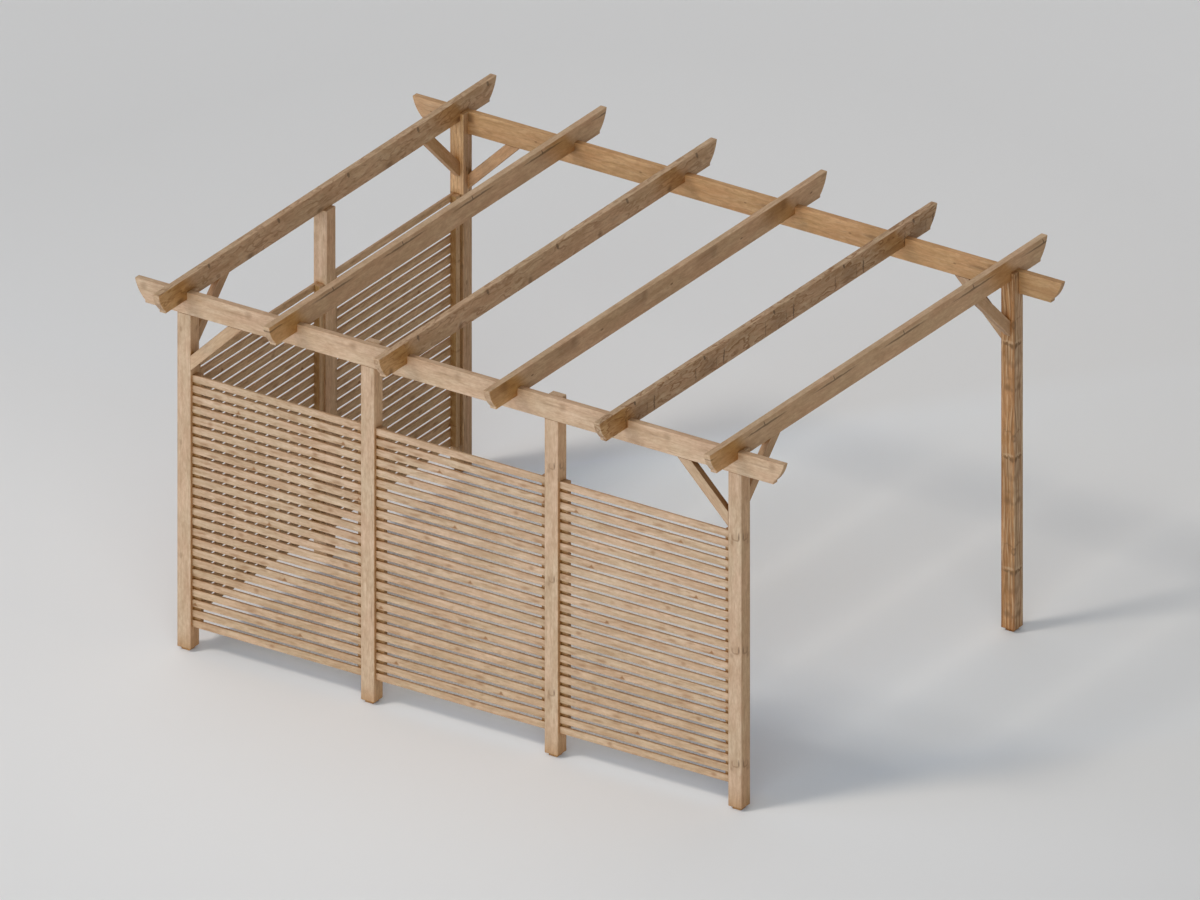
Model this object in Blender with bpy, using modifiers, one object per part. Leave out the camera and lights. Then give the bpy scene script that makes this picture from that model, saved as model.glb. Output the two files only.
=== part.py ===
"""A timber pergola whose front and left sides are closed by slatted screens.

Seven posts carry two beams that run along X and six rafters that run along Y.
The beams are let flush into the outer faces of their posts, and the rafters
are notched over the beams.  Knee braces stiffen the four corners.

The frame is +X to the right along the long front, +Y to the back and +Z up.
The origin is on the ground at the centre of the plan.
"""

import math

import bmesh
import bpy
from mathutils import Matrix, Vector

COLLECTION_NAME = "pergola_with_side_screens"
CUTTER_COLLECTION_NAME = "pergola_cutters"

# Overall sizes, in metres.
FRAME_LENGTH = 4.0  # over the outer faces of the corner posts, along X
FRAME_WIDTH = 3.0  # over the outer faces of the corner posts, along Y
TOTAL_HEIGHT = 2.45  # ground to the top of the rafters
BEAM_OVERHANG = 0.30  # beam end beyond the outer face of a corner post
RAFTER_OVERHANG = 0.30  # rafter end beyond the outer face of a corner post

# Posts.
POST_SIZE = 0.095
POST_ROUNDING = 0.005
FOOT_HEIGHT = 0.018  # the foot is stepped in from the post's faces
FOOT_INSET = 0.019
FRONT_MIDDLE_POSTS = 2  # evenly spaced between the front corner posts

# Beams.
BEAM_DEPTH = 0.145
BEAM_THICKNESS = 0.045
BEAM_ROUNDING = 0.004

# Rafters.
RAFTER_COUNT = 6
RAFTER_DEPTH = 0.145
RAFTER_THICKNESS = 0.045
RAFTER_ROUNDING = 0.004
RAFTER_SEAT = 0.049  # how far a rafter is let down over a beam

# The shaped end that beams and rafters share: an arc, then an upright lip.
END_RADIUS = 0.23
END_INSET = 0.0735  # the lip behind the tip of the top edge
END_LIP = 0.016  # height of the lip
END_STEPS = 9  # facets along the arc

# Knee braces, at 45 degrees.
BRACE_LEG = 0.362  # along the post, from the corner to the brace's lower edge
BRACE_WIDTH = 0.070
BRACE_THICKNESS = 0.045
BRACE_ROUNDING = 0.004

# Screens.
SCREEN_BELOW_BRACE = 0.035  # top of a front screen below the foot of a brace
FRONT_SCREEN_CLEARANCE = 0.162  # ground to the lowest slat
LEFT_SCREEN_CLEARANCE = 0.181
SLAT_HEIGHT = 0.046
SLAT_GAP = 0.021  # nominal: whole rows of slats are spread over the height
SLAT_THICKNESS = 0.019
SLAT_ROUNDING = 0.003
SCREEN_RECESS = 0.019  # slats behind the outer faces of the posts
BATTEN_WIDTH = 0.045
BATTEN_THICKNESS = 0.038
BATTEN_ROUNDING = 0.003
BATTEN_SETBACK = 0.004  # batten ends short of the outermost slats' edges
SLAT_BEDDING = 0.001  # slats bedded into the battens

FIT = 0.0003  # clearance between pieces that touch
CUT_MARGIN = 0.05  # how far a cutter runs past the piece that it cuts
SURFACE_SEGMENTS = 2  # facets across a rounded edge
SLAT_SEGMENTS = 1  # the slats are many, so their eased edges are plain chamfers

# Derived levels.
RAFTER_UNDERSIDE = TOTAL_HEIGHT - RAFTER_DEPTH
BEAM_TOP = RAFTER_UNDERSIDE + RAFTER_SEAT
BEAM_UNDERSIDE = BEAM_TOP - BEAM_DEPTH
HALF_LENGTH = FRAME_LENGTH / 2
HALF_WIDTH = FRAME_WIDTH / 2
CORNER_X = HALF_LENGTH - POST_SIZE / 2
CORNER_Y = HALF_WIDTH - POST_SIZE / 2
BAY = 2 * CORNER_X / (FRONT_MIDDLE_POSTS + 1)
RAFTER_PITCH = 2 * CORNER_X / (RAFTER_COUNT - 1)
BEAM_Y = HALF_WIDTH - BEAM_THICKNESS / 2
SCREEN_TOP = BEAM_UNDERSIDE - BRACE_LEG - SCREEN_BELOW_BRACE
SCREEN_HEIGHT = SCREEN_TOP - FRONT_SCREEN_CLEARANCE
SLAT_COUNT = round((SCREEN_HEIGHT + SLAT_GAP) / (SLAT_HEIGHT + SLAT_GAP))
SLAT_PITCH = (SCREEN_HEIGHT - SLAT_HEIGHT) / (SLAT_COUNT - 1)

# Surface colours (linear RGB), one for each kind of piece.
TIMBER_COLOURS = {
    "post": (0.47, 0.33, 0.21),
    "beam": (0.45, 0.31, 0.20),
    "rafter": (0.41, 0.28, 0.17),
    "brace": (0.46, 0.32, 0.20),
    "screen": (0.43, 0.30, 0.19),
}
TIMBER_ROUGHNESS = 0.72


def clear_scene():
    for obj in list(bpy.data.objects):
        bpy.data.objects.remove(obj, do_unlink=True)


def add_collection(name):
    collection = bpy.data.collections.new(name)
    bpy.context.scene.collection.children.link(collection)
    return collection


def add_material(name, kind):
    material = bpy.data.materials.new(name)
    material.use_nodes = True
    shader = material.node_tree.nodes["Principled BSDF"]
    red, green, blue = TIMBER_COLOURS[kind]
    shader.inputs["Base Color"].default_value = (red, green, blue, 1.0)
    shader.inputs["Roughness"].default_value = TIMBER_ROUGHNESS
    shader.inputs["Metallic"].default_value = 0.0
    return material


def mesh_object(name, bm, collection):
    mesh = bpy.data.meshes.new(name)
    bm.to_mesh(mesh)
    bm.free()
    obj = bpy.data.objects.new(name, mesh)
    collection.objects.link(obj)
    return obj


def box(name, low, high, collection):
    """An axis-aligned box between two corners, with its origin at its centre."""
    low, high = Vector(low), Vector(high)
    size = high - low
    bm = bmesh.new()
    bmesh.ops.create_cube(bm, size=1.0)
    bmesh.ops.scale(bm, vec=size, verts=bm.verts)
    obj = mesh_object(name, bm, collection)
    obj.location = (low + high) / 2
    return obj


def board(name, outline, thickness, collection):
    """A flat outline in the local XY plane, thickened evenly to both sides."""
    curve = bpy.data.curves.new(name, "CURVE")
    curve.dimensions = "2D"
    curve.fill_mode = "BOTH"
    curve.extrude = thickness / 2
    spline = curve.splines.new("POLY")
    spline.points.add(len(outline) - 1)
    for point, (u, v) in zip(spline.points, outline):
        point.co = (u, v, 0.0, 1.0)
    spline.use_cyclic_u = True
    guide = bpy.data.objects.new(name + "_outline", curve)
    collection.objects.link(guide)
    graph = bpy.context.evaluated_depsgraph_get()
    mesh = bpy.data.meshes.new_from_object(guide.evaluated_get(graph))
    bpy.data.objects.remove(guide, do_unlink=True)
    bm = bmesh.new()
    bm.from_mesh(mesh)
    bpy.data.meshes.remove(mesh)
    bmesh.ops.remove_doubles(bm, verts=bm.verts, dist=0.00001)
    bmesh.ops.dissolve_limit(
        bm, angle_limit=math.radians(0.5), verts=bm.verts, edges=bm.edges
    )
    return mesh_object(name, bm, collection)


def round_edges(obj, width, chosen=lambda edge: True, segments=SURFACE_SEGMENTS):
    """Round the outward edges that the test picks, by bevel weight."""
    bm = bmesh.new()
    bm.from_mesh(obj.data)
    weights = bm.edges.layers.float.new("bevel_weight_edge")
    for edge in bm.edges:
        sharp = edge.calc_face_angle_signed(0.0) > math.radians(30)
        edge[weights] = 1.0 if sharp and chosen(edge) else 0.0
    bm.to_mesh(obj.data)
    bm.free()
    bevel = obj.modifiers.new("Rounded edges", "BEVEL")
    bevel.width = width
    bevel.segments = segments
    bevel.limit_method = "WEIGHT"


def combine(obj, other, operation):
    modifier = obj.modifiers.new(other.name, "BOOLEAN")
    modifier.operation = operation
    modifier.object = other
    modifier.solver = "EXACT"
    other.hide_render = True
    other.display_type = "WIRE"


def finish_piece(obj, kind):
    obj.data.materials.append(add_material(obj.name + "_timber", kind))


# ---------------------------------------------------------------- posts


def post_body(name, x, y, top, parts, cutters):
    """A square post with rounded edges on a foot that is stepped in."""
    half = POST_SIZE / 2
    post = box(
        name, (x - half, y - half, FOOT_HEIGHT), (x + half, y + half, top), parts
    )
    round_edges(post, POST_ROUNDING)
    inner = half - FOOT_INSET
    foot = box(
        name + "_foot",
        (x - inner, y - inner, 0.0),
        (x + inner, y + inner, FOOT_HEIGHT + 2 * POST_ROUNDING),
        cutters,
    )
    combine(post, foot, "UNION")
    return post


def cut_beam_housing(post, x, side, cutters):
    """Cut the rebate that takes the beam, on the post's outer face."""
    half = POST_SIZE / 2 + CUT_MARGIN
    inner_face = side * (HALF_WIDTH - BEAM_THICKNESS - FIT)
    outer = side * (HALF_WIDTH + CUT_MARGIN)
    housing = box(
        post.name + "_beam_housing",
        (x - half, min(inner_face, outer), BEAM_UNDERSIDE - FIT),
        (x + half, max(inner_face, outer), BEAM_TOP + CUT_MARGIN),
        cutters,
    )
    combine(post, housing, "DIFFERENCE")


def cut_rafter_slot(post, x, y, cutters):
    """Cut the slot through the cheek of a corner post, for the end rafter."""
    half = RAFTER_THICKNESS / 2 + FIT
    reach = POST_SIZE / 2 + CUT_MARGIN
    slot = box(
        post.name + "_rafter_slot",
        (x - half, y - reach, RAFTER_UNDERSIDE - FIT),
        (x + half, y + reach, BEAM_TOP + CUT_MARGIN),
        cutters,
    )
    combine(post, slot, "DIFFERENCE")


def build_corner_post(name, x_side, y_side, parts, cutters):
    x = x_side * CORNER_X
    y = y_side * CORNER_Y
    post = post_body(name, x, y, BEAM_TOP, parts, cutters)
    cut_beam_housing(post, x, y_side, cutters)
    cut_rafter_slot(post, x, y, cutters)
    finish_piece(post, "post")


def build_front_middle_post(name, index, parts, cutters):
    x = -CORNER_X + index * BAY
    post = post_body(name, x, -CORNER_Y, BEAM_TOP, parts, cutters)
    cut_beam_housing(post, x, -1, cutters)
    finish_piece(post, "post")


def build_left_middle_post(name, parts, cutters):
    top = RAFTER_UNDERSIDE - FIT
    post = post_body(name, -CORNER_X, 0.0, top, parts, cutters)
    finish_piece(post, "post")


# ---------------------------------------------------------------- beams and rafters


def shaped_end(depth):
    """(inset, drop) down a shaped end, from the top edge to the bottom edge."""
    arc_drop = depth - END_LIP
    slope = math.atan2(END_INSET, arc_drop)
    half_turn = math.asin(math.hypot(END_INSET, arc_drop) / (2 * END_RADIUS))
    first = slope - half_turn
    points = []
    for step in range(END_STEPS + 1):
        turn = first + 2 * half_turn * step / END_STEPS
        inset = END_RADIUS * (math.cos(first) - math.cos(turn))
        drop = END_RADIUS * (math.sin(turn) - math.sin(first))
        points.append((inset, drop))
    points.append((END_INSET, depth))
    return points


def member_outline(length, depth, notches=()):
    """Side view of a beam or rafter, centred on its length, top edge at zero.

    Each notch in the bottom edge is (centre, width, height), from right to left.
    """
    end = shaped_end(depth)
    right = [(length / 2 - inset, -drop) for inset, drop in end]
    left = [(inset - length / 2, -drop) for inset, drop in reversed(end)]
    bottom = []
    for centre, width, height in notches:
        bottom.append((centre + width / 2, -depth))
        bottom.append((centre + width / 2, height - depth))
        bottom.append((centre - width / 2, height - depth))
        bottom.append((centre - width / 2, -depth))
    return right + bottom + left


def build_beam(name, side, parts):
    length = FRAME_LENGTH + 2 * BEAM_OVERHANG
    beam = board(name, member_outline(length, BEAM_DEPTH), BEAM_THICKNESS, parts)
    beam.rotation_euler = (math.pi / 2, 0.0, 0.0)
    beam.location = (0.0, side * BEAM_Y, BEAM_TOP)
    round_edges(beam, BEAM_ROUNDING)
    finish_piece(beam, "beam")


def clear_of_notches(edge):
    """True for an edge that doesn't lie in a notch over a beam."""
    reach = BEAM_THICKNESS / 2 + 2 * FIT
    return any(abs(abs(vert.co.x) - BEAM_Y) > reach for vert in edge.verts)


def build_rafter(name, index, parts):
    length = FRAME_WIDTH + 2 * RAFTER_OVERHANG
    width = BEAM_THICKNESS + 2 * FIT
    height = RAFTER_SEAT + FIT
    notches = ((BEAM_Y, width, height), (-BEAM_Y, width, height))
    outline = member_outline(length, RAFTER_DEPTH, notches)
    rafter = board(name, outline, RAFTER_THICKNESS, parts)
    rafter.rotation_euler = (math.pi / 2, 0.0, math.pi / 2)
    rafter.location = (-CORNER_X + index * RAFTER_PITCH, 0.0, TOTAL_HEIGHT)
    round_edges(rafter, RAFTER_ROUNDING, clear_of_notches)
    finish_piece(rafter, "rafter")


# ---------------------------------------------------------------- braces


def brace_outline():
    """Side view of a brace: the corner is at zero, the post below, the beam ahead."""
    upper = BRACE_LEG - BRACE_WIDTH * math.sqrt(2)
    return [
        (FIT, -BRACE_LEG),
        (BRACE_LEG, -FIT),
        (upper, -FIT),
        (FIT, -upper),
    ]


def runs_between_ends(edge):
    """True for the four long edges of a brace."""
    along = edge.verts[1].co - edge.verts[0].co
    return abs(along.x) > BRACE_WIDTH and abs(along.y) > BRACE_WIDTH


def build_brace(name, corner, heading, parts):
    """A brace from a post's face to the member above, leaning along heading."""
    brace = board(name, brace_outline(), BRACE_THICKNESS, parts)
    brace.matrix_world = (
        Matrix.Translation(corner)
        @ Matrix.Rotation(heading, 4, "Z")
        @ Matrix.Rotation(math.pi / 2, 4, "X")
    )
    round_edges(brace, BRACE_ROUNDING, runs_between_ends)
    finish_piece(brace, "brace")


def build_corner_braces(corner, x_side, y_side, parts):
    """One brace under the beam, one under the end rafter."""
    inner_x = x_side * (HALF_LENGTH - POST_SIZE)
    inner_y = y_side * (HALF_WIDTH - POST_SIZE)
    toward_x = math.pi if x_side > 0 else 0.0
    toward_y = -math.pi / 2 if y_side > 0 else math.pi / 2
    beam_corner = (inner_x, y_side * BEAM_Y, BEAM_UNDERSIDE)
    rafter_corner = (x_side * CORNER_X, inner_y, RAFTER_UNDERSIDE)
    build_brace(f"brace_{corner}_beam", beam_corner, toward_x, parts)
    build_brace(f"brace_{corner}_rafter", rafter_corner, toward_y, parts)


# ---------------------------------------------------------------- screens


def runs_along_slat(edge):
    run = edge.verts[1].co - edge.verts[0].co
    return abs(run.x) > max(abs(run.y), abs(run.z))


def runs_up_batten(edge):
    run = edge.verts[1].co - edge.verts[0].co
    return abs(run.z) > max(abs(run.x), abs(run.y))


def slat_rows(name, width, parts):
    """One rounded slat, repeated upwards.  Local X is along the screen."""
    slat = box(
        name,
        (-width / 2, -SLAT_THICKNESS / 2, -SLAT_HEIGHT / 2),
        (width / 2, SLAT_THICKNESS / 2, SLAT_HEIGHT / 2),
        parts,
    )
    round_edges(slat, SLAT_ROUNDING, runs_along_slat, SLAT_SEGMENTS)
    rows = slat.modifiers.new("Rows", "ARRAY")
    rows.count = SLAT_COUNT
    rows.use_relative_offset = False
    rows.use_constant_offset = True
    rows.constant_offset_displace = (0.0, 0.0, SLAT_PITCH)
    return slat


def batten(name, width, side, cutters):
    """The upright behind one end of the slats, in the screen's own frame."""
    outer = side * width / 2
    inner = outer - side * BATTEN_WIDTH
    front = SLAT_THICKNESS / 2 - SLAT_BEDDING
    back = SLAT_THICKNESS / 2 + BATTEN_THICKNESS
    upright = box(
        name,
        (min(outer, inner), front, BATTEN_SETBACK),
        (max(outer, inner), back, SCREEN_HEIGHT - BATTEN_SETBACK),
        cutters,
    )
    round_edges(upright, BATTEN_ROUNDING, runs_up_batten, SLAT_SEGMENTS)
    return upright


def build_screen(name, start, end, heading, parts, cutters):
    """A slatted screen between two points under the middle of its slats.

    From start to end is the screen's own +X, and its inner side is its own +Y.
    """
    start, end = Vector(start), Vector(end)
    width = (end - start).length - 2 * FIT
    place = Matrix.Translation((start + end) / 2) @ Matrix.Rotation(heading, 4, "Z")
    slats = slat_rows(name, width, parts)
    slats.matrix_world = place @ Matrix.Translation((0.0, 0.0, SLAT_HEIGHT / 2))
    for side, end_name in ((-1, "start"), (1, "end")):
        upright = batten(f"{name}_{end_name}_batten", width, side, cutters)
        upright.matrix_world = place @ Matrix.Translation(upright.location)
        combine(slats, upright, "UNION")
    finish_piece(slats, "screen")


def build_front_screens(parts, cutters):
    y = -HALF_WIDTH + SCREEN_RECESS + SLAT_THICKNESS / 2
    z = FRONT_SCREEN_CLEARANCE
    half = POST_SIZE / 2
    for index in range(FRONT_MIDDLE_POSTS + 1):
        start = -CORNER_X + index * BAY + half
        end = -CORNER_X + (index + 1) * BAY - half
        name = f"screen_front_{index + 1}"
        build_screen(name, (start, y, z), (end, y, z), 0.0, parts, cutters)


def build_left_screens(parts, cutters):
    x = -HALF_LENGTH + SCREEN_RECESS + SLAT_THICKNESS / 2
    z = LEFT_SCREEN_CLEARANCE
    half = POST_SIZE / 2
    posts = (-CORNER_Y, 0.0, CORNER_Y)
    heading = -math.pi / 2
    for index in range(2):
        start = posts[index + 1] - half
        end = posts[index] + half
        name = f"screen_left_{index + 1}"
        build_screen(name, (x, start, z), (x, end, z), heading, parts, cutters)


# ---------------------------------------------------------------- whole


def main():
    clear_scene()
    parts = add_collection(COLLECTION_NAME)
    cutters = add_collection(CUTTER_COLLECTION_NAME)
    corners = (
        ("front_left", -1, -1),
        ("front_right", 1, -1),
        ("back_left", -1, 1),
        ("back_right", 1, 1),
    )
    for corner, x_side, y_side in corners:
        build_corner_post(f"post_{corner}", x_side, y_side, parts, cutters)
        build_corner_braces(corner, x_side, y_side, parts)
    for index in range(1, FRONT_MIDDLE_POSTS + 1):
        build_front_middle_post(f"post_front_middle_{index}", index, parts, cutters)
    build_left_middle_post("post_left_middle", parts, cutters)
    build_beam("beam_front", -1, parts)
    build_beam("beam_back", 1, parts)
    for index in range(RAFTER_COUNT):
        build_rafter(f"rafter_{index + 1}", index, parts)
    build_front_screens(parts, cutters)
    build_left_screens(parts, cutters)


main()
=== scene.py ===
"""Pergola with side screens: timber finishes for every CAD node, the floor, the lights and the camera."""

import math

import bpy
from mathutils import Matrix, Vector


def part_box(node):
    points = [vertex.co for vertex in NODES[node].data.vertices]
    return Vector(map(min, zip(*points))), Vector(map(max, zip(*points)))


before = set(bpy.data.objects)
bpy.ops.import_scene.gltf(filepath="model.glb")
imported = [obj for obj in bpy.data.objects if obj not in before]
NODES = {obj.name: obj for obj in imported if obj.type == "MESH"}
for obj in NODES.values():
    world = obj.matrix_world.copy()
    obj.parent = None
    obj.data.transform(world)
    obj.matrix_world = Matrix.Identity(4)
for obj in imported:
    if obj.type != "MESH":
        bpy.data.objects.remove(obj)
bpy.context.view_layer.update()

# ---- Camera ----

# Orthographic, from the front and right, above. Degrees and metres.
CAMERA_AZIMUTH = 33.65
CAMERA_ELEVATION = 25.83
CAMERA_DISTANCE = 20.0
VIEW_WIDTH = 7.0796
AIM_HEIGHT = 1.2346
AIM_LEFT = 0.0006

# ---- Light ----

# Name, azimuth it comes from (from +X towards +Y), elevation and angular size in degrees, and the
# light on a surface that faces it.
LAMPS = [
    ("sun", 234.0, 52.0, 12.0, (0.316, 0.295, 0.249)),
    ("front_right_fill", 300.0, 10.0, 60.0, (0.730, 0.770, 0.742)),
    ("front_fill", 270.0, 12.0, 60.0, (0.040, 0.126, 0.187)),
    ("left_fill", 228.0, 15.0, 60.0, (0.303, 0.322, 0.375)),
    ("back_fill", 135.0, 45.0, 60.0, (0.132, 0.123, 0.114)),
    ("top_fill", 0.0, 90.0, 90.0, (0.185, 0.188, 0.187)),
]
BACKDROP_COLOUR = (0.59, 0.59, 0.59)

# ---- Floor ----

FLOOR_COLOUR = (0.796, 0.784, 0.808)
FLOOR_SIZE = 400.0
FLOOR_ROUGHNESS = 0.9
FLOOR_SPECULAR = 0.1
# A painted pool of light: the floor is brightest in front of the pergola, and darker away from there.
FLOOR_LIGHT_POOL_CENTRE = (-0.42, -3.05)
FLOOR_FADE_TURN = 17.0
FLOOR_FADE_REACH = (5.75, 10.60)
FLOOR_BRIGHT = 1.053
FLOOR_DIM = 0.906
# Painted light lifts the floor in the shade behind the front screens and beside the left ones. A shade
# is: the lines where it begins, where it starts to fade, the length it fades over, how it leans, and the
# lines where it ends.
PAINTED_SHADE_LIFT = (1.27, 1.28, 1.25, 1.0)
FRONT_SHADE_START = (-1.42, -1.15)
LEFT_SHADE_START = (-1.92, -1.70)
FRONT_SHADE = (FRONT_SHADE_START, -0.85, 0.95, 0.727, (0.9, 2.6))
LEFT_SHADE = (LEFT_SHADE_START, -1.35, 0.85, 1.376, (3.5, 4.3))
# Painted sky light: at the open right side and at the back, the painted light in the shade is bluer.
OPEN_SIDE = (0.4, 1.2)
OPEN_SIDE_LEAN = 0.67
OPEN_BACK = (1.1, 1.7)
OPEN_PAINTED_SHADE_LIFT = (1.19, 1.27, 1.35, 1.0)
SKY_SHADE = (FRONT_SHADE_START, -0.30, 0.95, 0.727, (2.7, 3.3))
PAINTED_SKY_TINT = (0.97, 1.01, 1.06, 1.0)

# ---- Tones of the timber ----

NO_TINT = (1.0, 1.0, 1.0, 1.0)
# Lit tone for faces turned to the light (front and top), shaded tone for faces turned away (sides, back,
# undersides): painted light and shade by facing.
TONES = {
    "post": ((0.482, 0.336, 0.228), (0.526, 0.338, 0.200)),
    "post_warm": ((0.370, 0.194, 0.086), (0.438, 0.284, 0.168)),
    "post_golden": ((0.560, 0.340, 0.176), (0.482, 0.300, 0.170)),
    "beam": ((0.500, 0.345, 0.234), (0.475, 0.305, 0.175)),
    "beam_golden": ((0.500, 0.292, 0.145), (0.490, 0.290, 0.150)),
    "rafter": ((0.493, 0.336, 0.220), (0.474, 0.298, 0.171)),
    "brace": ((0.483, 0.324, 0.209), (0.462, 0.286, 0.160)),
    "brace_golden": ((0.507, 0.300, 0.162), (0.400, 0.222, 0.098)),
    "screen": ((0.478, 0.333, 0.225), (0.515, 0.338, 0.190)),
}
# The members whose tone isn't the usual one of their kind.
OWN_TONES = {
    "post_back_right": "post_warm",
    "post_back_left": "post_golden",
    "beam_back": "beam_golden",
    "brace_back_left_beam": "brace_golden",
    "brace_back_left_rafter": "brace_golden",
}
# Some members are a little lighter or darker than their fellows.
SHADES = {
    "rafter_2": 1.03,
    "rafter_3": 0.99,
    "rafter_4": 1.02,
    "rafter_5": 0.89,
    "post_front_right": 0.94,
    "post_left_middle": 1.06,
    "brace_front_right_beam": 0.88,
    "brace_front_right_rafter": 0.95,
    "brace_back_right_beam": 0.91,
    "brace_back_right_rafter": 0.89,
}
# Painted light and shade by facing: the side the painted light comes from, and how much a face looks that
# way where its tone starts to turn from the shaded one, and where it is fully the lit one.
PAINTED_LIGHT_SIDE = Vector((-0.25, -0.80, 0.55)).normalized()
PAINTED_LIGHT_TURN = (-0.15, 0.35)
# Painted shade: the wood is darker and more golden in corners and joints, where shade falls, from an
# ambient occlusion node. The openness is where the tint is full and where it ends.
CORNER_SHADE_REACH = 0.22
CORNER_SHADE_SAMPLES = 6
CORNER_SHADE_OPENNESS = (0.30, 0.90)
CORNER_SHADE_TINT = (0.66, 0.46, 0.20, 1.0)
# Painted light and shade on the sides of the rafters: painted warm bounce light makes them more golden
# before the front beam, and painted shade makes them darker close before both beams. The lines across
# them lean with the cut of their ends.
RAFTER_SIDE = (0.5, 0.9)
RAFTER_END_LEAN = 0.86
FRONT_END = (-1.50, -1.38)
FRONT_END_BOUNCE_TINT = (1.04, 0.93, 0.70, 1.0)
# Where the painted shade before each beam starts, where it ends, and its tint.
RAFTER_JOINT_SHADES = [
    ((-1.72, -1.55), (-1.52, -1.38), (0.80, 0.72, 0.52, 1.0)),
    ((1.06, 1.32), (1.38, 1.46), (0.84, 0.70, 0.46, 1.0)),
]
# The back beam is paler at its left end and darker at its right end.
BACK_LEFT_END = (-2.10, -1.95)
BACK_LEFT_TINT = (1.01, 1.08, 1.21, 1.0)
BACK_RIGHT_END = (1.93, 2.03)
BACK_RIGHT_TINT = (0.80, 0.82, 0.82, 1.0)
# Painted shade: the upper faces of the braces under the beams are darker, in the shade of the beam and
# rafter above.
BRACE_TOP = (0.4, 0.65)
BRACE_TOP_SHADE_TINT = (0.54, 0.44, 0.33, 1.0)
# Painted shade: the battens' front faces, close behind the slats, are darker and golden, and the front
# face of the post beside the last batten is darker too, where they lie in shade.
FORWARD = (-0.9, -0.5)
BATTEN_SHADE_TINT = (0.82, 0.72, 0.46, 1.0)
BATTEN_POST_SHADE_TINT = (0.62, 0.63, 0.62, 1.0)
# Painted shade: the top edges of the slats are darker, in the shade of the slat above, and the lowest
# slats are a little darker and more golden, lit less from above and more by light bounced off the floor.
SLAT_TOP = (0.80, 0.95)
SLAT_TOP_SHADE_TINT = (0.90, 0.84, 0.76, 1.0)
LOW_SLATS = (0.20, 1.20)
LOW_SLAT_SHADE_TINT = (0.955, 0.935, 0.885, 1.0)

# ---- Figure of the timber ----

# Patterns of noise: waves per metre along the grain and on the two axes across it, detail, roughness.
SWAY = ((1.6, 6.0, 6.0), 2.0, 0.5)
STREAKS = ((2.6, 40.0, 40.0), 4.0, 0.62)
CLOUDS = ((7.0, 20.0, 20.0), 3.0, 0.6)
MOTTLES = ((30.0, 85.0, 85.0), 2.0, 0.6)
HUES = ((3.1, 9.0, 9.0), 2.0, 0.5)
FLECKS = ((13.0, 75.0, 75.0), 3.0, 0.6)
FIBRES = ((12.0, 420.0, 420.0), 2.0, 0.5)
MARK_WOBBLE = ((16.0, 70.0, 70.0), 3.0, 0.5)
SLAT_MARK_WOBBLE = ((40.0, 110.0, 110.0), 3.0, 0.5)
SWAY_REACH = 0.05
# What streaks of strength 1 take from a colour where they are dark, and add where they are light.
STREAK_SPAN = (0.32, 0.68)
STREAK_DARKENS = (0.10, 0.13, 0.17)
STREAK_LIGHTENS = (0.06, 0.07, 0.09)
# Where each of the other patterns goes from its first colour to its second, and the two colours.
CLOUD_SHADES = ((0.34, 0.66), (0.93, 0.90, 0.87, 1.0), (1.06, 1.07, 1.08, 1.0))
MOTTLE_SHADES = ((0.34, 0.66), (0.94, 0.92, 0.90, 1.0), (1.06, 1.06, 1.07, 1.0))
HUE_SHADES = ((0.35, 0.65), (1.02, 0.985, 0.98, 1.0), (0.985, 1.00, 0.99, 1.0))
FIBRE_SHADES = ((0.25, 0.75), (0.96, 0.95, 0.94, 1.0), (1.04, 1.04, 1.04, 1.0))
FLECK_COLOUR = (0.300, 0.165, 0.080, 1.0)
FLECK_SPAN = (0.54, 0.68)
FLECK_STRENGTH = 0.40
# Flecks grow stronger with a member's streaks, up to this much.
FLECK_GROWTH = 1.5
# How each member is figured: strength of its streaks, strength of its ring lines, how far those curl.
PLAIN_FIGURE = (0.80, 0.10, 0.15)
FIGURES = {
    "post_back_right": (2.70, 1.00, 0.10),
    "post_back_left": (1.50, 0.40, 0.20),
    "beam_back": (0.95, 0.25, 0.50),
    "rafter_1": (1.00, 0.60, 0.90),
    "rafter_2": (0.60, 0.06, 0.30),
    "rafter_3": (1.00, 0.60, 0.90),
    "rafter_4": (1.00, 0.12, 0.50),
    "rafter_5": (1.40, 0.90, 1.00),
    "rafter_6": (0.65, 0.06, 0.30),
    "screen": (1.30, 0.10, 0.30),
}
# Ring lines to a metre, and how far noise bends them. A full curl takes a share of the lines away,
# and adds to the bend and to the noise's waves.
RING_LINES = 40.0
RING_BEND = 2.5
RING_NOISE_WAVES = (1.6, 7.0, 7.0)
RING_NOISE_DETAIL = 2.0
RING_NOISE_ROUGHNESS = 0.5
CURL_LOSS = 0.8
CURL_BEND = 1.5
CURL_WAVES = (5.0, 15.0, 15.0)
RING_PATCHES = (0.30, 0.60)
# A dark line in every ring, and a light one beside it: place in the ring, width, strength, colour.
RING_BANDS = [
    (0.42, 0.24, 0.90, (0.220, 0.100, 0.038, 1.0)),
    (0.72, 0.20, 0.55, (0.520, 0.370, 0.240, 1.0)),
]
RING_BAND_CORE = 0.02
# The surface: its roughness on dark and on light streaks, its shine, and its bumps in metres.
ROUGHNESS_SPAN = (0.3, 0.7)
ROUGHNESS = (0.74, 0.62)
SPECULAR = 0.3
BUMP_STRENGTH = 0.35
BUMP_DEPTH = 0.0012
STREAK_HEIGHT = 0.5
FIBRE_HEIGHT = 0.5
# Each member takes its own part of the noise, this far on from the last member's.
MEMBER_STEP = (3.71, 1.37, 2.19)
SCREEN_STEP = (5.3, 2.9, 1.1)

# ---- Marks in the timber ----

# Marks come back along a member at this distance, as in boards sawn from one log.
FIGURE_REPEAT = 0.742
# Half a post's width: marks with this place across lie round a post's corner.
POST_CORNER = 0.0475
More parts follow.
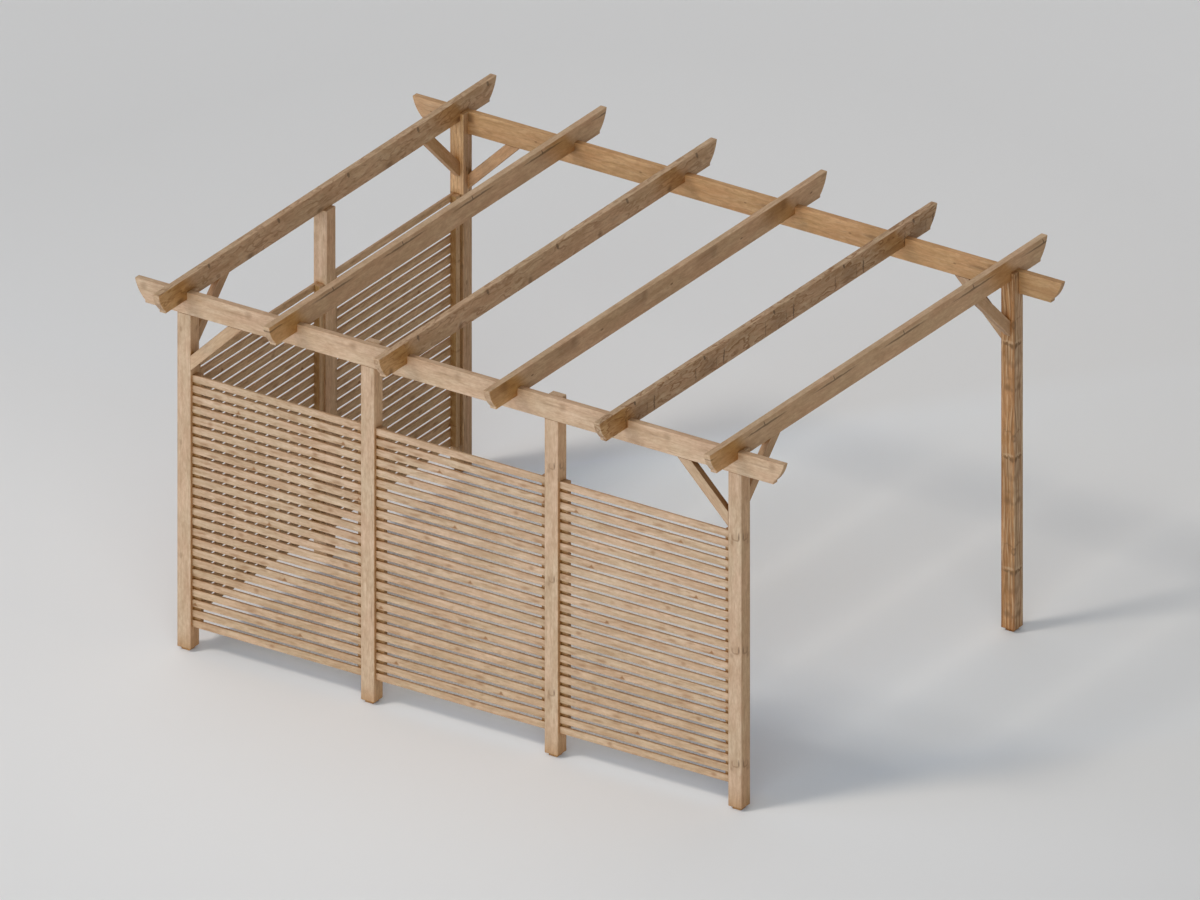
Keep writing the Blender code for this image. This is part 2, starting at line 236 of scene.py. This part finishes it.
# Kind, place along the member, place across it (metres), size along, size across, strength.
# Posts: along = height above the ground, across = from the face's middle.
# Beams and rafters: along = X or Y, across = height above the member's middle.
MARKS = {
    "post_front_right": [
        ("bowl", 0.307, 0.004, 0.024, 0.027, 0.50),
        ("slash", 0.316, 0.029, 0.028, 0.0050, 0.60),
        ("smudge", 0.268, -0.020, 0.022, 0.016, 0.45),
    ],
    "post_front_middle_2": [
        ("bowl", 0.425, 0.004, 0.022, 0.022, 0.45),
        ("slash", 0.430, 0.022, 0.024, 0.0045, 0.55),
        ("smudge", 0.390, -0.018, 0.020, 0.014, 0.40),
    ],
    "post_front_middle_1": [("check", 0.620, 0.030, 0.075, 0.0022, 0.45)],
    "post_front_left": [("knot", 0.620, -0.020, 0.022, 0.010, 0.35)],
    "post_back_right": [
        ("gleam", 0.418, 0.010, 0.0120, 0.045, 0.32),
        ("crown", 0.400, 0.008, 0.0125, 0.044, 1.00),
        ("smudge", 0.392, 0.036, 0.0220, 0.022, 0.95),
        ("gleam", 0.350, 0.010, 0.0800, 0.0070, 0.45),
        ("gleam", 0.330, 0.030, 0.0600, 0.0050, 0.35),
        ("bowl", 0.345, POST_CORNER, 0.085, 0.058, 0.42),
        ("ring", 0.535, POST_CORNER, 0.026, 0.018, 0.75),
        ("crown", 0.575, 0.012, 0.0080, 0.050, 0.40),
        ("smudge", 0.118, 0.000, 0.0300, 0.030, 0.75),
        ("smudge", 0.105, 0.034, 0.0160, 0.016, 0.55),
        ("smudge", 0.180, 0.010, 0.0140, 0.030, 0.32),
    ],
    "post_back_left": [("knot", 0.500, 0.010, 0.020, 0.010, 0.6)],
    "beam_front": [
        ("smudge", -0.010, 0.034, 0.030, 0.034, 0.38),
        ("smudge", -0.100, 0.026, 0.095, 0.009, 0.34),
        ("smudge", 0.250, 0.020, 0.060, 0.014, 0.20),
    ],
    "beam_back": [
        ("smudge", 0.330, 0.034, 0.040, 0.040, 0.75),
        ("smudge", 0.230, 0.020, 0.100, 0.014, 0.55),
        ("knot", 0.060, 0.004, 0.012, 0.006, 0.60),
    ],
    "rafter_1": [
        ("slash", 0.219, 0.055, 0.014, 0.026, 0.65),
        ("smudge", -0.084, -0.056, 0.050, 0.024, 0.75),
        ("smudge", 0.000, -0.020, 0.080, 0.016, 0.25),
    ],
    "rafter_2": [
        ("gleam", 0.400, 0.052, 0.220, 0.0060, 0.30),
        ("check", 0.380, 0.042, 0.250, 0.0080, 0.72),
        ("slash", 0.367, 0.056, 0.006, 0.020, 0.75),
    ],
    "rafter_3": [
        ("slash", 0.100, 0.052, 0.014, 0.028, 0.65),
        ("smudge", -0.190, -0.052, 0.028, 0.030, 0.70),
        ("smudge", -0.030, -0.010, 0.060, 0.020, 0.25),
    ],
    "rafter_4": [
        ("smudge", -0.150, 0.040, 0.045, 0.065, 0.42),
        ("smudge", -0.235, 0.034, 0.150, 0.060, 0.32),
        ("knot", 0.143, -0.001, 0.018, 0.007, 0.80),
    ],
    "rafter_5": [
        ("slash", 0.060, 0.058, 0.012, 0.020, 0.80),
        ("crossline", 0.267, -0.020, 0.008, 0.060, 0.80),
        ("crossline", 0.190, -0.020, 0.006, 0.050, 0.45),
        ("crossline", -0.033, -0.020, 0.007, 0.060, 0.50),
        ("smudge", 0.120, -0.020, 0.110, 0.070, 0.45),
    ],
    "rafter_6": [
        ("gleam", 0.300, 0.046, 0.220, 0.0060, 0.30),
        ("check", 0.280, 0.036, 0.250, 0.0080, 0.72),
        ("slash", 0.267, 0.052, 0.006, 0.020, 0.75),
    ],
}
# What each kind of mark looks like: its colour, and how far it stands out of the surface.
STAIN_HEIGHT = 0.4
CRACK_HEIGHT = -2.0
STAIN_LOOK = ((0.175, 0.088, 0.038, 1.0), STAIN_HEIGHT)
SLAT_STAIN_LOOK = ((0.235, 0.105, 0.040, 1.0), STAIN_HEIGHT)
CRACK_LOOK = ((0.105, 0.060, 0.034, 1.0), CRACK_HEIGHT)
MARK_LOOKS = {
    "check": ((0.130, 0.072, 0.036, 1.0), CRACK_HEIGHT),
    "slash": CRACK_LOOK,
    "crossline": CRACK_LOOK,
    "gleam": ((0.540, 0.385, 0.245, 1.0), STAIN_HEIGHT),
}
# Members bear marks on their upright faces: how far a face may turn up or down before they fade.
UPRIGHT_FACE = (0.3, 0.6)
# How far noise makes the edges of marks ragged, and lines wander.
EDGE_WOBBLE = 0.5
CHECK_WANDER = 0.010
CROSSLINE_WANDER = 0.030
CROWN_WANDER = 0.045
SLASH_LEAN = 0.45
# A crown dips by this much, in metres, from this place across to the corner.
CROWN_DIP = 0.016
CROWN_DIP_START = 0.010
# The power that makes the outline of a bowl, between an ellipse and a rectangle.
BOWL_POWER = 3.0
# Where a mark's parts fade, in its own sizes from its middle. A rim's fade is counted from the rim.
RIM = 0.85
RIM_FADE = (0.10, 0.40)
BOWL_TOP_FADE = (0.1, 1.0)
HOLLOW_STRENGTH = 0.30
HOLLOW_FADE = (0.5, 1.5)
SMUDGE_FADE = (0.15, 1.25)
SPOT_FADE = (0.55, 1.10)

# ---- Slats ----

SLATS = 25
SLAT_GAP = 0.021
SLAT_THICKNESS = 0.019
# The wood this far behind the slats is a batten's.
BATTEN_START = 0.001
# Chance moves each slat's figure along and across its board, by at most this many metres.
SLAT_SHIFT = 37.0
# The marks come back in every group of slats, each time a little further along.
SLATS_IN_GROUP = 5.0
SLAT_KNOT_STEP = 0.109
SLAT_KNOTS_AT = {
    "screen_front_1": 0.343,
    "screen_front_2": 0.284,
    "screen_front_3": 0.510,
    "screen_left_1": 0.100,
    "screen_left_2": 0.600,
}
# Kind, slat of each group, place along from the knot, place across, size along, size across, strength.
SLAT_MARKS = [
    ("wedge", 2, 0.000, -0.003, 0.024, 0.0145, 0.95),
    ("smudge", 2, -0.030, -0.014, 0.050, 0.008, 0.40),
    ("smudge", 0, -0.200, 0.002, 0.024, 0.016, 0.60),
    ("smudge", 0, 0.090, -0.010, 0.060, 0.008, 0.38),
    ("smudge", 1, -0.330, 0.006, 0.050, 0.010, 0.42),
    ("smudge", 2, -0.283, -0.004, 0.046, 0.012, 0.55),
    ("smudge", 2, -0.150, 0.014, 0.040, 0.010, 0.48),
    ("smudge", 3, -0.150, -0.004, 0.046, 0.013, 0.52),
    ("smudge", 3, -0.355, -0.008, 0.046, 0.011, 0.50),
    ("smudge", 4, 0.150, 0.006, 0.036, 0.009, 0.45),
]

# Turns, in degrees, that lay the first axis of a material's coordinates along the grain.
GRAIN_TURNS = {
    "x": (0.0, 0.0, 0.0),
    "y": (0.0, 0.0, 90.0),
    "z": (0.0, -90.0, 0.0),
    "x_up": (0.0, -45.0, 0.0),
    "x_down": (0.0, 45.0, 0.0),
    "y_up": (0.0, -45.0, 90.0),
    "y_down": (0.0, 45.0, 90.0),
}


class Finish:
    """Builds one node material."""

    def __init__(self, name):
        self.material = bpy.data.materials.new(name)
        self.material.use_nodes = True
        self.tree = self.material.node_tree
        self.tree.nodes.clear()

    def add(self, kind, **settings):
        node = self.tree.nodes.new(kind)
        for name, value in settings.items():
            setattr(node, name, value)
        return node

    def feed(self, socket, value):
        """Links another node's output to the socket, or sets the socket's own value."""
        if isinstance(value, bpy.types.NodeSocket):
            self.tree.links.new(value, socket)
        else:
            socket.default_value = value

    def math(self, operation, *values):
        node = self.add("ShaderNodeMath", operation=operation)
        for socket, value in zip(node.inputs, values):
            self.feed(socket, value)
        return node.outputs[0]

    def vector(self, operation, *values):
        node = self.add("ShaderNodeVectorMath", operation=operation)
        for socket, value in zip(node.inputs, values):
            self.feed(socket, value)
        gives_number = operation in ("DOT_PRODUCT", "LENGTH")
        return node.outputs["Value" if gives_number else "Vector"]

    def split(self, vector):
        node = self.add("ShaderNodeSeparateXYZ")
        self.feed(node.inputs[0], vector)
        return node.outputs[0], node.outputs[1], node.outputs[2]

    def join(self, x, y, z):
        node = self.add("ShaderNodeCombineXYZ")
        for socket, value in zip(node.inputs, (x, y, z)):
            self.feed(socket, value)
        return node.outputs[0]

    def mapped(self, vector, location, turns, scale=(1.0, 1.0, 1.0)):
        """The vector seen from a frame with that location, turned by those degrees and scaled."""
        node = self.add("ShaderNodeMapping", vector_type="TEXTURE")
        self.feed(node.inputs["Vector"], vector)
        node.inputs["Location"].default_value = location
        node.inputs["Rotation"].default_value = [math.radians(turn) for turn in turns]
        node.inputs["Scale"].default_value = scale
        return node.outputs[0]

    def noise(self, place, waves, detail, roughness):
        """Noise with its own number of waves per metre along each axis."""
        node = self.add("ShaderNodeTexNoise")
        self.feed(node.inputs["Vector"], self.vector("MULTIPLY", place, waves))
        node.inputs["Scale"].default_value = 1.0
        node.inputs["Detail"].default_value = detail
        node.inputs["Roughness"].default_value = roughness
        return node.outputs[0]

    def wobble(self, place, pattern):
        """Noise about zero."""
        return self.math("SUBTRACT", self.noise(place, *pattern), 0.5)

    def ease(self, value, low, high, start=0.0, end=1.0):
        """Maps low..high smoothly to start..end."""
        node = self.add("ShaderNodeMapRange", interpolation_type="SMOOTHSTEP")
        self.feed(node.inputs["Value"], value)
        limits = (("From Min", low), ("From Max", high), ("To Min", start), ("To Max", end))
        for name, limit in limits:
            node.inputs[name].default_value = limit
        return node.outputs[0]

    def fade(self, value, low, high):
        """1 below low, 0 above high, and smooth between them."""
        return self.ease(value, low, high, 1.0, 0.0)

    def blend(self, factor, a, b, how="MIX"):
        """Mixes two colours."""
        node = self.add("ShaderNodeMix", data_type="RGBA", blend_type=how)
        self.feed(node.inputs[0], factor)
        self.feed(node.inputs[6], a)
        self.feed(node.inputs[7], b)
        return node.outputs[2]

    def tint(self, colour, factor, tint):
        """Multiplies the colour by as much of the tint as the factor says."""
        return self.blend(1.0, colour, self.blend(factor, NO_TINT, tint), "MULTIPLY")


def mark_mask(finish, along, across, wobble, mark):
    """A mark's strength over the surface, repeated along the member."""
    kind, at_along, at_across, size_along, size_across, strength = mark
    offset = finish.math("SUBTRACT", along, at_along)
    du = finish.math("WRAP", offset, FIGURE_REPEAT / 2.0, -FIGURE_REPEAT / 2.0)
    dv = finish.math("SUBTRACT", across, at_across)
    if kind == "slash":
        du = finish.math("MULTIPLY_ADD", dv, SLASH_LEAN, du)
    if kind == "check":
        dv = finish.math("MULTIPLY_ADD", wobble, CHECK_WANDER, dv)
    if kind == "crossline":
        du = finish.math("MULTIPLY_ADD", wobble, CROSSLINE_WANDER, du)
    if kind == "crown":
        # The line dips to a point where it meets the corner of the post.
        dip = finish.ease(across, CROWN_DIP_START, POST_CORNER, 0.0, CROWN_DIP)
        du = finish.math("MULTIPLY_ADD", wobble, CROWN_WANDER, finish.math("ADD", du, dip))
    u = finish.math("DIVIDE", du, size_along)
    v = finish.math("DIVIDE", dv, size_across)
    if kind == "wedge":
        # A triangle that stands on its base.
        rise = finish.math("MULTIPLY_ADD", v, 0.5, 0.5)
        slope = finish.math("ADD", finish.math("ABSOLUTE", u), rise)
        distance = finish.math("MAXIMUM", slope, finish.math("MULTIPLY", v, -1.0))
    elif kind == "bowl":
        powers = [finish.math("POWER", finish.math("ABSOLUTE", part), BOWL_POWER) for part in (u, v)]
        distance = finish.math("POWER", finish.math("ADD", *powers), 1.0 / BOWL_POWER)
    else:
        distance = finish.vector("LENGTH", finish.join(u, v, 0.0))
    rough = finish.math("MULTIPLY_ADD", wobble, EDGE_WOBBLE, distance)
    if kind in ("bowl", "ring"):
        mask = finish.fade(finish.math("ABSOLUTE", finish.math("SUBTRACT", rough, RIM)), *RIM_FADE)
        if kind == "bowl":
            # A bowl's rim is open at the top.
            mask = finish.math("MULTIPLY", mask, finish.fade(u, *BOWL_TOP_FADE))
        hollow = finish.ease(rough, *HOLLOW_FADE, HOLLOW_STRENGTH, 0.0)
        mask = finish.math("MAXIMUM", mask, hollow)
    elif kind == "smudge":
        mask = finish.fade(rough, *SMUDGE_FADE)
    else:
        mask = finish.fade(rough, *SPOT_FADE)
    return finish.math("MULTIPLY", mask, strength)


def timber(name, low, high, seed):
    """Planed softwood for one member, with its grain along it."""
    turn = grain_turn(name)
    middle = list((low + high) / 2.0)
    if turn in ("x", "y", "z"):
        # Places along a straight member are counted from the origin.
        middle["xyz".index(turn)] = 0.0

    finish = Finish(name)
    place = finish.add("ShaderNodeTexCoord")
    local = finish.mapped(place.outputs["Object"], middle, GRAIN_TURNS[turn])
    facing = finish.split(place.outputs["Normal"])
    along, side, across = finish.split(local)
    if turn == "z":
        # The marks wrap round the front right corner of a post, the same on both faces.
        facing_x = finish.math("ABSOLUTE", facing[0])
        facing_y = finish.math("ABSOLUTE", facing[1])
        across = finish.math("MULTIPLY", finish.math("MULTIPLY", across, -1.0), facing_y)
        across = finish.math("SUBTRACT", across, finish.math("MULTIPLY", side, facing_x))
    own = finish.vector("ADD", local, [step * seed for step in MEMBER_STEP])

    wobble = finish.wobble(own, MARK_WOBBLE)
    on_upright = finish.fade(finish.math("ABSOLUTE", facing[2]), *UPRIGHT_FACE)
    spots = []
    for mark in MARKS.get(name, []):
        mask = finish.math("MULTIPLY", mark_mask(finish, along, across, wobble, mark), on_upright)
        spots.append((mask, *MARK_LOOKS.get(mark[0], STAIN_LOOK)))
    tone = OWN_TONES.get(name, name.split("_")[0])
    shade = SHADES.get(name, 1.0)
    tones = [tuple(value * shade for value in colour) for colour in TONES[tone]]
    tints = member_tints(finish, name, place, facing, along, across)
    return grain_shader(finish, place, own, spots, tones, FIGURES.get(name, PLAIN_FIGURE), tints)


def member_tints(finish, name, place, facing, along, across):
    """The parts of a member with a tint of their own, most of them painted light and shade: a factor and
    the tint for each.
    """
    if name.startswith("rafter"):
        on_side = finish.ease(finish.math("ABSOLUTE", facing[0]), *RAFTER_SIDE)
        return rafter_painted_light(finish, on_side, along, across)
    if name.startswith("brace") and name.endswith("beam"):
        # Painted shade on the braces' upper faces.
        return [(finish.ease(facing[2], *BRACE_TOP), BRACE_TOP_SHADE_TINT)]
    if name == "post_back_left":
        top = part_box("screen_left_2")[1][2]
        height = finish.split(place.outputs["Object"])[2]
        by_screen = finish.math("LESS_THAN", height, float(top))
        # Painted shade on the post's front face beside the last batten.
        beside = finish.math("MULTIPLY", finish.fade(facing[1], *FORWARD), by_screen)
        return [(beside, BATTEN_POST_SHADE_TINT)]
    if name == "beam_back":
        return [
            (finish.fade(along, *BACK_LEFT_END), BACK_LEFT_TINT),
            (finish.ease(along, *BACK_RIGHT_END), BACK_RIGHT_TINT),
        ]
    return []


def rafter_painted_light(finish, on_side, along, across):
    """A rafter's painted bounce light before the front beam, and painted shade close before both beams.
    """
    slant = finish.math("MULTIPLY_ADD", across, RAFTER_END_LEAN, along)
    # Painted warm bounce light on the side before the front beam.
    end = finish.math("MULTIPLY", finish.fade(slant, *FRONT_END), on_side)
    tints = [(end, FRONT_END_BOUNCE_TINT)]
    # Painted shade close before each beam.
    for start, stop, tint in RAFTER_JOINT_SHADES:
        joint_shade = finish.math("MULTIPLY", finish.ease(slant, *start), finish.fade(slant, *stop))
        tints.append((finish.math("MULTIPLY", joint_shade, on_side), tint))
    return tints


def slat_timber(name, low, high, seed):
    """A screen's wood: every slat is a board of its own, and the battens behind stand upright."""
    finish = Finish(name)
    place = finish.add("ShaderNodeTexCoord")
    x, y, z = finish.split(place.outputs["Object"])
    along, through, front = (x, y, low[1]) if "front" in name else (y, x, low[0])
    pitch = (high[2] - low[2] + SLAT_GAP) / SLATS
    rows = finish.math("DIVIDE", finish.math("SUBTRACT", z, low[2] - SLAT_GAP / 2.0), pitch)
    row = finish.math("FLOOR", rows)
    from_middle = finish.math("SUBTRACT", finish.math("FRACT", rows), 0.5)
    within = finish.math("MULTIPLY", from_middle, pitch)
    behind = finish.math("GREATER_THAN", through, front + SLAT_THICKNESS + BATTEN_START)
    chance = finish.add("ShaderNodeTexWhiteNoise", noise_dimensions="2D")
    finish.feed(chance.inputs["Vector"], finish.join(row, seed, 0.0))
    shift = finish.math("MULTIPLY", chance.outputs["Value"], SLAT_SHIFT)
    shifted_along = finish.math("ADD", along, shift)
    shifted_within = finish.math("ADD", within, shift)
    pick = finish.add("ShaderNodeMix", data_type="VECTOR")
    finish.feed(pick.inputs[0], behind)
    finish.feed(pick.inputs[4], finish.join(shifted_along, shifted_within, through))
    finish.feed(pick.inputs[5], finish.join(z, along, through))
    own = finish.vector("ADD", pick.outputs[1], [step * seed for step in SCREEN_STEP])

    wobble = finish.wobble(own, SLAT_MARK_WOBBLE)
    group = finish.math("FLOOR", finish.math("DIVIDE", row, SLATS_IN_GROUP))
    in_group = finish.math("MULTIPLY_ADD", group, -SLATS_IN_GROUP, row)
    mark_along = finish.math("MULTIPLY_ADD", group, SLAT_KNOT_STEP, along)
    spots = []
    for kind, slat, from_knot, *shape in SLAT_MARKS:
        # On other slats the mark is a metre or more away across the grain, and doesn't show.
        across = finish.math("ADD", within, finish.math("SUBTRACT", in_group, float(slat)))
        mark = (kind, SLAT_KNOTS_AT[name] + from_knot, *shape)
        spots.append((mark_mask(finish, mark_along, across, wobble, mark), *SLAT_STAIN_LOOK))
    _, backward, upward = finish.split(place.outputs["Normal"])
    tints = [
        # Painted shade on the slats' tops and on the lowest slats.
        (finish.ease(upward, *SLAT_TOP), SLAT_TOP_SHADE_TINT),
        (finish.fade(z, *LOW_SLATS), LOW_SLAT_SHADE_TINT),
        # Painted shade on the battens' front faces.
        (finish.math("MULTIPLY", behind, finish.fade(backward, *FORWARD)), BATTEN_SHADE_TINT),
    ]
    return grain_shader(finish, place, own, spots, TONES["screen"], FIGURES["screen"], tints)


def grain_shader(finish, place, own, spots, tones, figure, tints):
    """The wood itself, from coordinates whose first axis runs along its grain."""
    streaking, ringing, looping = figure
    sway = finish.math("MULTIPLY", finish.noise(own, *SWAY), SWAY_REACH * streaking)
    bent = finish.vector("ADD", own, finish.join(0.0, sway, sway))
    streaks = finish.noise(bent, *STREAKS)
    fibres = finish.noise(bent, *FIBRES)
    clouds = finish.noise(own, *CLOUDS)

    # Painted light and shade: faces turned to the light get the lit tone, faces turned away the shaded,
    # more saturated one.
    lit_tone, shaded_tone = tones
    facing_light = finish.vector("DOT_PRODUCT", place.outputs["Normal"], PAINTED_LIGHT_SIDE)
    painted_lighting = finish.ease(facing_light, *PAINTED_LIGHT_TURN)
    colour = finish.blend(painted_lighting, (*shaded_tone, 1.0), (*lit_tone, 1.0))
    dark = (*(1.0 - part * streaking for part in STREAK_DARKENS), 1.0)
    light = (*(1.0 + part * streaking for part in STREAK_LIGHTENS), 1.0)
    layers = [
        (streaks, STREAK_SPAN, dark, light),
        (clouds, *CLOUD_SHADES),
        (finish.noise(own, *MOTTLES), *MOTTLE_SHADES),
        (finish.noise(own, *HUES), *HUE_SHADES),
        (fibres, *FIBRE_SHADES),
    ]
    for pattern, span, first, second in layers:
        shades = finish.blend(finish.ease(pattern, *span), first, second)
        colour = finish.blend(1.0, colour, shades, "MULTIPLY")
    fleck_strength = FLECK_STRENGTH * min(streaking, FLECK_GROWTH)
    flecks = finish.ease(finish.noise(bent, *FLECKS), *FLECK_SPAN, 0.0, fleck_strength)
    colour = finish.blend(flecks, colour, FLECK_COLOUR)
    colour = ring_lines(finish, colour, own, clouds, ringing, looping)

    depth = finish.math("MULTIPLY", streaks, STREAK_HEIGHT)
    depth = finish.math("MULTIPLY_ADD", fibres, FIBRE_HEIGHT, depth)
    for mask, spot_colour, height in spots:
        colour = finish.blend(mask, colour, spot_colour)
        depth = finish.math("MULTIPLY_ADD", mask, height, depth)
    for factor, tint in tints:
        colour = finish.tint(colour, factor, tint)
    # Painted shade in corners and joints.
    corner = finish.add("ShaderNodeAmbientOcclusion", samples=CORNER_SHADE_SAMPLES)
    corner.inputs["Distance"].default_value = CORNER_SHADE_REACH
    corner_shade = finish.fade(corner.outputs["AO"], *CORNER_SHADE_OPENNESS)
    colour = finish.tint(colour, corner_shade, CORNER_SHADE_TINT)

    bump = finish.add("ShaderNodeBump")
    bump.inputs["Strength"].default_value = BUMP_STRENGTH
    bump.inputs["Distance"].default_value = BUMP_DEPTH
    finish.feed(bump.inputs["Height"], depth)
    shader = finish.add("ShaderNodeBsdfPrincipled")
    finish.feed(shader.inputs["Base Color"], colour)
    finish.feed(shader.inputs["Roughness"], finish.ease(streaks, *ROUGHNESS_SPAN, *ROUGHNESS))
    shader.inputs["Specular IOR Level"].default_value = SPECULAR
    finish.feed(shader.inputs["Normal"], bump.outputs[0])
    output = finish.add("ShaderNodeOutputMaterial")
    finish.feed(output.inputs["Surface"], shader.outputs[0])
    return finish.material


def ring_lines(finish, colour, own, clouds, ringing, looping):
    """Draws the lines of the year rings over the colour, in patches."""
    _, side, rise = finish.split(own)
    waves = [wave + more * looping for wave, more in zip(RING_NOISE_WAVES, CURL_WAVES)]
    swirl = finish.noise(own, waves, RING_NOISE_DETAIL, RING_NOISE_ROUGHNESS)
    lines = RING_LINES * (1.0 - CURL_LOSS * looping)
    bend = RING_BEND + CURL_BEND * looping
    straight = finish.math("MULTIPLY", finish.math("ADD", side, rise), lines)
    rings = finish.math("FRACT", finish.math("MULTIPLY_ADD", swirl, bend, straight))
    patches = finish.ease(clouds, *RING_PATCHES, 0.0, ringing)
    for centre, width, strength, ring_colour in RING_BANDS:
        away = finish.math("ABSOLUTE", finish.math("SUBTRACT", rings, centre))
        band = finish.ease(away, RING_BAND_CORE, width, strength, 0.0)
        colour = finish.blend(finish.math("MULTIPLY", band, patches), colour, ring_colour)
    return colour


def add_light(name, azimuth, elevation, size, light):
    """A sun lamp shining from that direction."""
    a = math.radians(azimuth)
    e = math.radians(elevation)
    source = Vector((math.cos(a) * math.cos(e), math.sin(a) * math.cos(e), math.sin(e)))
    level = max(light)
    data = bpy.data.lights.new(name, "SUN")
    data.energy = level * math.pi
    data.color = [value / level for value in light]
    data.angle = math.radians(size)
    lamp = bpy.data.objects.new(name, data)
    lamp.rotation_euler = source.to_track_quat("Z", "Y").to_euler()
    bpy.context.scene.collection.objects.link(lamp)


def add_camera():
    """The orthographic camera, and the picture's colour settings."""
    a = math.radians(CAMERA_AZIMUTH)
    e = math.radians(CAMERA_ELEVATION)
    right = Vector((math.cos(a), math.sin(a), 0.0))
    up = Vector((-math.sin(a) * math.sin(e), math.cos(a) * math.sin(e), math.cos(e)))
    back = Vector((math.sin(a) * math.cos(e), -math.cos(a) * math.cos(e), math.sin(e)))
    target = Vector((0.0, 0.0, AIM_HEIGHT)) - right * AIM_LEFT
    place = Matrix.Identity(4)
    for row in range(3):
        place[row][0] = right[row]
        place[row][1] = up[row]
        place[row][2] = back[row]
        place[row][3] = target[row] + back[row] * CAMERA_DISTANCE
    data = bpy.data.cameras.new("camera")
    data.type = "ORTHO"
    data.ortho_scale = VIEW_WIDTH
    camera = bpy.data.objects.new("camera", data)
    camera.matrix_world = place
    bpy.context.scene.collection.objects.link(camera)
    bpy.context.scene.camera = camera
    bpy.context.scene.view_settings.view_transform = "Standard"


def add_world():
    """No light of its own, and a grey backdrop past the floor's edge."""
    world = bpy.data.worlds.new("world")
    bpy.context.scene.world = world
    world.use_nodes = True
    tree = world.node_tree
    tree.nodes.clear()
    dark = tree.nodes.new("ShaderNodeBackground")
    dark.inputs["Color"].default_value = (0.0, 0.0, 0.0, 1.0)
    seen = tree.nodes.new("ShaderNodeBackground")
    seen.inputs["Color"].default_value = (*BACKDROP_COLOUR, 1.0)
    path = tree.nodes.new("ShaderNodeLightPath")
    mix = tree.nodes.new("ShaderNodeMixShader")
    output = tree.nodes.new("ShaderNodeOutputWorld")
    tree.links.new(path.outputs["Is Camera Ray"], mix.inputs[0])
    tree.links.new(dark.outputs[0], mix.inputs[1])
    tree.links.new(seen.outputs[0], mix.inputs[2])
    tree.links.new(mix.outputs[0], output.inputs["Surface"])


def shade_depth(finish, behind, beside, shade):
    """How far a point of the floor lies in a screen's shade, from 0 to 1."""
    start, fade_from, fade_length, lean, end = shade
    past = finish.math("MAXIMUM", finish.math("SUBTRACT", behind, fade_from), 0.0)
    fade = finish.math("EXPONENT", finish.math("DIVIDE", past, -fade_length))
    depth = finish.math("MULTIPLY", fade, finish.ease(behind, *start))
    leaning = finish.math("MULTIPLY_ADD", behind, -lean, beside)
    return finish.math("MULTIPLY", depth, finish.fade(leaning, *end))


def floor_colour(finish):
    """A painted pool of light, brightest in front of the pergola, and painted light that lifts and tints
    the screens' shade.
    """
    ground = finish.add("ShaderNodeTexCoord").outputs["Object"]
    turns = (0.0, 0.0, FLOOR_FADE_TURN)
    local = finish.mapped(ground, (*FLOOR_LIGHT_POOL_CENTRE, 0.0), turns, (*FLOOR_FADE_REACH, 1.0))
    away = finish.add("ShaderNodeMapRange")
    finish.feed(away.inputs["Value"], finish.vector("DOT_PRODUCT", local, local))
    bright = (*(value * FLOOR_BRIGHT for value in FLOOR_COLOUR), 1.0)
    dim = (*(value * FLOOR_DIM for value in FLOOR_COLOUR), 1.0)
    colour = finish.blend(away.outputs[0], bright, dim)

    x, y, _ = finish.split(ground)
    # Painted light in the screens' shade, bluer at the open side and back.
    behind_front = shade_depth(finish, y, x, FRONT_SHADE)
    beside_left = shade_depth(finish, x, y, LEFT_SHADE)
    past_left = finish.ease(x, *LEFT_SHADE_START)
    past_front = finish.ease(y, *FRONT_SHADE_START)
    indoors = finish.math("MULTIPLY", past_left, past_front)
    shade = finish.math("MULTIPLY", finish.math("MAXIMUM", behind_front, beside_left), indoors)
    slant = finish.math("MULTIPLY_ADD", y, OPEN_SIDE_LEAN, x)
    is_open = finish.math("MAXIMUM", finish.ease(slant, *OPEN_SIDE), finish.ease(y, *OPEN_BACK))
    colour = finish.tint(colour, shade, finish.blend(is_open, PAINTED_SHADE_LIFT, OPEN_PAINTED_SHADE_LIFT))
    sky = finish.math("MULTIPLY", shade_depth(finish, y, x, SKY_SHADE), is_open)
    return finish.tint(colour, sky, PAINTED_SKY_TINT)


def add_floor():
    """A wide matt floor under the feet."""
    half = FLOOR_SIZE / 2.0
    mesh = bpy.data.meshes.new("floor")
    corners = [(-half, -half, 0.0), (half, -half, 0.0), (half, half, 0.0), (-half, half, 0.0)]
    mesh.from_pydata(corners, [], [(0, 1, 2, 3)])
    finish = Finish("floor")
    shader = finish.add("ShaderNodeBsdfPrincipled")
    finish.feed(shader.inputs["Base Color"], floor_colour(finish))
    shader.inputs["Roughness"].default_value = FLOOR_ROUGHNESS
    shader.inputs["Specular IOR Level"].default_value = FLOOR_SPECULAR
    output = finish.add("ShaderNodeOutputMaterial")
    finish.feed(output.inputs["Surface"], shader.outputs[0])
    mesh.materials.append(finish.material)
    floor = bpy.data.objects.new("floor", mesh)
    bpy.context.scene.collection.objects.link(floor)


def grain_turn(name):
    """Which way the grain runs in that member."""
    if name.startswith("post"):
        return "z"
    if name.startswith("beam"):
        return "x"
    if name.startswith("rafter"):
        return "y"
    _, depth, side, member = name.split("_")
    if member == "beam":
        return "x_up" if side == "left" else "x_down"
    return "y_up" if depth == "front" else "y_down"


def finish_nodes():
    """Gives every CAD node its own timber."""
    for seed, name in enumerate(sorted(NODES), start=1):
        low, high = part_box(name)
        make = slat_timber if name.startswith("screen") else timber
        material = make(name, low, high, float(seed))
        NODES[name].data.materials.clear()
        NODES[name].data.materials.append(material)


add_camera()
add_world()
add_floor()
for lamp in LAMPS:
    add_light(*lamp)
finish_nodes()
